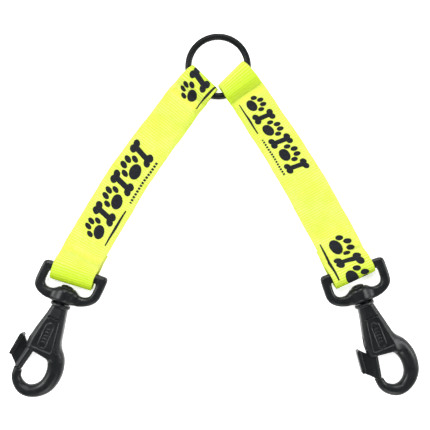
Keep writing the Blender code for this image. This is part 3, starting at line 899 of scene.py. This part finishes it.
def ink_on(prints, side_sign, s, w):
    """Signed distance to the nearest print; each is (where it starts, which way it runs, scale)."""
    best = np.full(np.shape(s), NO_INK)
    for start, way, scale in prints:
        best = np.minimum(best, scale * motif((s - start) * way / scale, w * side_sign / scale))
    return np.clip(best, -3.0, NO_INK)


def across_places():
    """Where the points lie across the webbing, from -1 to 1, closer together at its edges."""
    inner = np.linspace(-0.95, 0.95, 49)
    rim = np.array([0.968, 0.982, 0.992, 0.998, 1.0])
    return np.concatenate([-rim[::-1], inner, rim])


def smooth_step(value, low, high):
    """0 below low, 1 above high, and a smooth climb between them."""
    k = np.clip((value - low) / (high - low), 0.0, 1.0)
    return k * k * (3 - 2 * k)


def webbing(name, arm, profile, end, prints, side_sign, look, material):
    """A closed ribbed strip that follows a profile of (length from the fold, height)."""
    spacing, rib_height, lowest = 0.28, 0.12, 0.74

    # q runs along the webbing itself, and s is the length from the fold, which turns back there.
    dense = smooth_rows(profile, 12)
    steps = np.concatenate([[0.0], np.cumsum(np.linalg.norm(np.diff(dense, axis=0), axis=1))])
    q = np.append(np.arange(0.0, steps[-1], spacing), steps[-1])
    s = np.interp(q, steps, dense[:, 0])
    z = np.interp(q, steps, dense[:, 1])
    along = np.stack([np.gradient(s, q), np.gradient(z, q)], axis=1)
    along /= np.linalg.norm(along, axis=1)[:, None]
    normal = np.stack([-along[:, 1], along[:, 0]], axis=1)
    top = np.arange(len(q)) > int(np.argmin(s))
    arm_s = (arm.length - s) if end == "hook" else s
    way = -1.0 if end == "hook" else 1.0

    # The ribs stand up most near the fold, and lie almost flat where the seam presses them.
    pressed = 1.0 - 0.8 * np.exp(-(((s - look["seam"]) / 3.2) ** 4))
    relief = (0.6 + 0.4 * np.exp(-(((s - 5.0) / 13.0) ** 2))) * pressed
    # How much painted shade each row gets, less on the lower layer.
    tint = look["tint"](s) * np.where(top, 1.0, 0.6)

    # Droop lowers both edges near the fold, and curl lowers the inner one further on. Sway moves
    # the webbing a little sideways, with the lower layer shifted most, and lift arches its middle.
    seed = look["seed"]
    droop = look["droop"] * np.exp(-(((s - 11.5) / 3.6) ** 2)) * top
    curl = look["curl"] * smooth_step(s, 8.0, 13.0) * (1 - smooth_step(s, 24.0, 62.0)) * top
    sway = 0.10 * np.sin(arm_s * 0.21 + seed) + 0.06 * np.sin(arm_s * 0.47 + 2 * seed)
    sway = sway - side_sign * look["tail_shift"] * smooth_step(s, 5.0, 12.0) * ~top
    lift = 0.22 * (1 + np.sin(arm_s * 0.13 + seed)) * smooth_step(s, 40.0, 52.0)

    # Prints are placed by the length from mid-arm, so that they meet where the two halves do.
    from_middle = q[-1] - q
    print_s = arm_s[-1] + from_middle if end == "hook" else arm_s[-1] - from_middle

    share = across_places()
    half_t = WEB_T / 2 * np.sqrt(np.clip(1 - np.abs(share) ** 26, 0, 1))
    verts, web, ink, painted_web_shades = [], [], [], []
    for layer, places in ((1.0, range(len(share))), (-1.0, range(len(share) - 2, 0, -1))):
        for k in places:
            rim = 1 - abs(share[k]) ** 8
            wave = np.cos(FULL_TURN * q / RIB + 0.25 * math.sin(9 * share[k]))
            off = layer * (half_t[k] + rib_height * wave * relief * rim * (half_t[k] > 0.2))
            s_here = arm_s + way * normal[:, 0] * off
            w = share[k] * arm.half(s_here)
            inner = np.clip((-share[k] * side_sign - 0.62) / 0.38, 0.0, 1.0)
            place = arm.at(s_here) + arm.across(s_here) * (w + sway)[:, None]
            middle = z - droop * abs(share[k]) ** 2.2 - curl * inner**1.6
            middle = soft_max(middle + lift * (1 - share[k] ** 2), lowest, 0.2)
            height = middle + normal[:, 1] * off
            verts.append(np.column_stack([place, height]))
            web.append(np.column_stack([q, w, relief]))
            # The curled-down inner edge gets extra painted shade.
            painted_web_shades.append(tint + 0.5 * inner * (curl > 0.1) * (curl / 1.4))
            if layer > 0:
                ink.append(ink_on(prints, side_sign, print_s, w - side_sign * curl * inner))
            else:
                ink.append(np.full_like(q, NO_INK))
    size = len(verts)
    verts = np.stack(verts, axis=1).reshape(-1, 3)
    faces = rows_to_faces(len(q), size).tolist()
    faces.append(list(range(size))[::-1])
    faces.append(list(range((len(q) - 1) * size, len(q) * size)))
    if end == "ring":
        faces = [f[::-1] for f in faces]
    made = new_object(name, verts + np.array(BASE) / MM, faces, material)
    for cap in made.data.polygons[-2:]:
        cap.use_smooth = False
    store(made, "web", "FLOAT_VECTOR", "vector", np.stack(web, axis=1))
    store(made, "ink", "FLOAT", "value", np.stack(ink, axis=1))
    store(made, "tint", "FLOAT", "value", np.stack(painted_web_shades, axis=1))
    return made


def seam(name, arm, s, low, high, printed, material):
    """Two passes of zigzag stitching, one on each face; the print carries on over the upper one."""
    zigzags, reach, margin, thread_r = 34, 2.3, 1.6, 0.1
    half = float(arm.half(s)) - margin

    # k counts quarters of a zigzag, and there are four points in each quarter.
    k = np.arange(zigzags * 16 + 1) / 4
    w = -half + 2 * half * k / (zigzags * 4)
    swing = reach * np.interp(k % 4, (0, 1, 2, 3, 4), (0, 1, 0, -1, 0))
    d, a, here = arm.direction(s), arm.across(s), arm.at(s)
    verts, faces, ink = [], [], []
    for height, side in ((high, 1.0), (low, -1.0)):
        rise = 0.05 * np.cos(k * math.pi / 2) * side
        flat = here + a * w[:, None] + d * swing[:, None]
        points = np.column_stack([flat, height + side * 0.01 + rise])
        got, quads = tube(points, thread_r, 6)
        faces += [[i + len(verts) for i in f] for f in quads]
        verts += got.tolist()
        away = got[:, :2] - here
        ink += (printed(s + away @ d, away @ a) if side > 0 else np.full(len(got), NO_INK)).tolist()
    made = new_object(name, np.array(verts) + np.array(BASE) / MM, faces, material)
    store(made, "ink", "FLOAT", "value", ink)
    return made


def hinge_ends(arm, first, last):
    """The two places on an arm between which the webbing turns across a hinge."""
    made = []
    for s in (first, last):
        x, y = arm.at(s)
        made.append(BASE + Vector((x, y, HINGE_Z)) * MM)
    return made


def shade_near_fold(depth, reach):
    """Painted shade at the fold: a deeper colour that fades out along the webbing."""
    return lambda s: depth * (1 - smooth_step(s, -1.0, reach)) + 0.35 * (1 - smooth_step(s, 0.0, 4.0))


def shade_band(depth, middle, reach):
    """Painted shade: a deeper colour in a soft band across the webbing."""
    return lambda s: depth * np.exp(-(((s - middle) / reach) ** 2))


def make_arm(side, line, wire_at, prints, side_sign, paints):
    """One arm: its webbing in two halves that meet at mid-arm, and its two seams."""
    arm = Arm(line)
    middle = round(arm.length / 2 / RIB) * RIB
    left = side == "left"
    seed = 0.7 if left else 2.9
    ring_look = {"seam": RING_SEAM, "droop": 1.25, "seed": seed, "tail_shift": -0.3}
    ring_look["curl"] = 1.3 if left else 0.5
    # Painted shade near the ring's fold or in a band, and below near the snap's fold.
    ring_look["tint"] = shade_near_fold(0.35, 9.0) if left else shade_band(0.8, 12.0, 6.5)
    hook_look = {"seam": HOOK_SEAM, "droop": 0.5, "seed": seed, "tail_shift": 0.8 if left else 0.6}
    hook_look["curl"] = 0.0
    hook_look["tint"] = shade_near_fold(0.9, 16.0 if left else 8.0)

    upper = webbing(
        side + "_webbing_ring_half", arm, ring_profile(wire_at, middle), "ring", prints,
        side_sign, ring_look, paints["webbing"]
    )
    start, end = hinge_ends(arm, *RING_HINGE)
    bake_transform(upper)
    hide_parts(side + "_ring_loop", side + "_strap")
    lower = webbing(
        side + "_webbing_hook_half", arm, hook_profile(arm.length, middle), "hook", prints,
        side_sign, hook_look, paints["webbing"]
    )
    start, end = hinge_ends(arm, arm.length - HOOK_HINGE[1], arm.length - HOOK_HINGE[0])
    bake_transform(lower)
    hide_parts(side + "_hook_loop")
    for which, s, low, high, body in (
        ("ring", RING_SEAM, 0.68, 3.82, "_ring_end"),
        ("hook", arm.length - HOOK_SEAM, 1.13, 4.27, "_hook_end"),
    ):
        stitches = seam(
            f"{side}_{which}_stitches", arm, s, low, high,
            lambda at, w: ink_on(prints, side_sign, at, w), paints["thread"]
        )
        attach(stitches, side + body)
        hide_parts(f"{side}_{which}_bartack")


def make_ring(material):
    """The round wire ring, lying level."""
    big, small = 160, 32
    turn = np.arange(big) * FULL_TURN / big
    around = np.arange(small) * FULL_TURN / small
    radius = RING_R + WIRE_R * np.cos(around)[None, :]
    x = radius * np.cos(turn)[:, None]
    y = radius * np.sin(turn)[:, None]
    z = RING_Z + WIRE_R * np.sin(around)[None, :] + 0 * turn[:, None]
    verts = np.stack([x, y, z], axis=2).reshape(-1, 3) + np.array(BASE) / MM
    ring = new_object("ring_look", verts, rows_to_faces(big, small, True)[:, ::-1], material)
    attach(ring, "ring")
    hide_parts("o_ring")


# ---------------------------------------------------------------- stage


def add_light(name, place, size, power):
    """A round soft light aimed at the middle of the scene, in metres and watts."""
    data = bpy.data.lights.new(name, "AREA")
    data.shape = "DISK"
    data.size = size
    data.energy = power
    lamp = bpy.data.objects.new(name, data)
    bpy.context.scene.collection.objects.link(lamp)
    lamp.location = place
    lamp.rotation_mode = "QUATERNION"
    lamp.rotation_quaternion = (-Vector(place)).to_track_quat("-Z", "Y")


def make_world():
    """White light from all round, brightest near the horizon and weakest overhead."""
    wide_band, horizon_band = (0.25, 0.9, 0.58, 0.15), (0.04, 0.16, 0.42, 0.0)
    world = bpy.data.worlds.new("studio")
    world.use_nodes = True
    tree = world.node_tree
    sky = tree.nodes["Background"]
    around = tree.nodes.new("ShaderNodeTexCoord")
    parts = tree.nodes.new("ShaderNodeSeparateXYZ")
    tree.links.new(around.outputs["Generated"], parts.inputs[0])
    total = tree.nodes.new("ShaderNodeMath")
    for index, stops in enumerate((wide_band, horizon_band)):
        fade = tree.nodes.new("ShaderNodeMapRange")
        for socket, value in zip(("From Min", "From Max", "To Min", "To Max"), stops):
            fade.inputs[socket].default_value = value
        tree.links.new(parts.outputs[2], fade.inputs["Value"])
        tree.links.new(fade.outputs["Result"], total.inputs[index])
    tree.links.new(total.outputs[0], sky.inputs["Strength"])
    sky.inputs["Color"].default_value = (1.0, 1.0, 1.0, 1.0)
    bpy.context.scene.world = world


def make_stage():
    """A wide white floor just under the object, the sky and five soft lights."""
    reach, drop = 12000.0, 0.15
    corners = [(x * reach, y * reach, -drop) for x, y in ((-1, -1), (1, -1), (1, 1), (-1, 1))]
    floor = new_object("floor", corners, [(0, 1, 2, 3)], floor_finish("floor_finish"))
    make_world()
    add_light("left_box", (-0.80, 0.20, 0.55), 0.55, 8.0)
    add_light("right_box", (0.80, 0.15, 0.55), 0.55, 7.0)
    add_light("back_box", (0.0, 0.85, 0.60), 0.6, 7.0)
    add_light("front_box", (0.1, -0.85, 0.60), 0.6, 5.0)
    add_light("top_box", (-0.20, 0.25, 0.8), 0.2, 2.5)
    scene = bpy.context.scene
    scene.view_settings.view_transform = "Standard"
    scene.view_settings.look = "None"


def make_camera():
    """Straight above the object, which it takes in whole."""
    middle = BASE + Vector((-1.85, -89.85, 0)) * MM
    data = bpy.data.cameras.new("camera")
    data.sensor_width = SENSOR
    data.lens = SENSOR * CAMERA_AWAY / (CAMERA_WIDTH * MM)
    data.clip_start = 0.01
    data.clip_end = 20.0
    camera = bpy.data.objects.new("camera", data)
    bpy.context.scene.collection.objects.link(camera)
    camera.location = (middle.x, middle.y, HOOK_Z * MM + CAMERA_AWAY)
    bpy.context.scene.camera = camera


def main():
    """Everything in the scene."""
    make_camera()
    paints = {
        "hook": moulded_plastic("hook_plastic", 0.0042),
        "eye": moulded_plastic("eye_plastic", 0.004),
        "bolt": moulded_plastic("bolt_plastic", 0.0042),
        "pin": moulded_plastic("pin_plastic", 0.004),
        "spring": spring_steel("spring_wire"),
        "ring": coated_steel("ring_coating"),
        "webbing": woven("neon_webbing"),
        "thread": thread("neon_thread"),
    }
    make_ring(paints["ring"])
    make_arm("left", LEFT_LINE, LEFT_WIRE_AT, LEFT_PRINTS, -1.0, paints)
    make_arm("right", RIGHT_LINE, RIGHT_WIRE_AT, RIGHT_PRINTS, 1.0, paints)
    forms = make_snap_meshes(paints)
    place_snap("left", LEFT_PIVOT, LEFT_EYE_TURN, LEFT_HOOK_TURN, forms)
    place_snap("right", RIGHT_PIVOT, RIGHT_EYE_TURN, RIGHT_HOOK_TURN, forms)
    for form in forms.values():
        bpy.data.objects.remove(form, do_unlink=True)
    make_stage()
    bpy.context.view_layer.update()


main()
